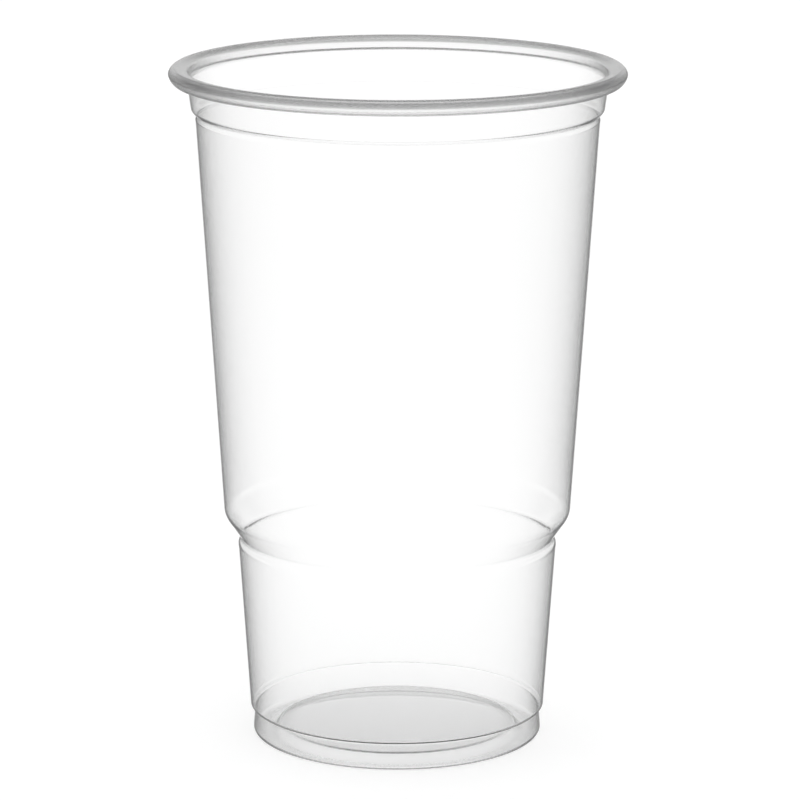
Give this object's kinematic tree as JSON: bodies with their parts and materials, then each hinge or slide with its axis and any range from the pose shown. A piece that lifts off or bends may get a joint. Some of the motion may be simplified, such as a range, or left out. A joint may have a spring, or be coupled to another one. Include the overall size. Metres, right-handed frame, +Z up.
{
  "type": "disposable cup",
  "caption": "Tall clear plastic tumbler with a rolled rim, a stacking shoulder, a stepped waist and a raised base panel, for cold drinks.",
  "frame": {"origin": "centre of the foot, on the table", "axes": "+Z up along the cup's axis, out of its mouth; the cup is round, so X and Y are any two sides"},
  "size_m": [0.095, 0.095, 0.1426],
  "materials": {
    "clear_plastic": "clear, smooth and glossy"
  },
  "bodies": {
    "root": {"cup": "clear_plastic"}
  },
  "joints": []
}
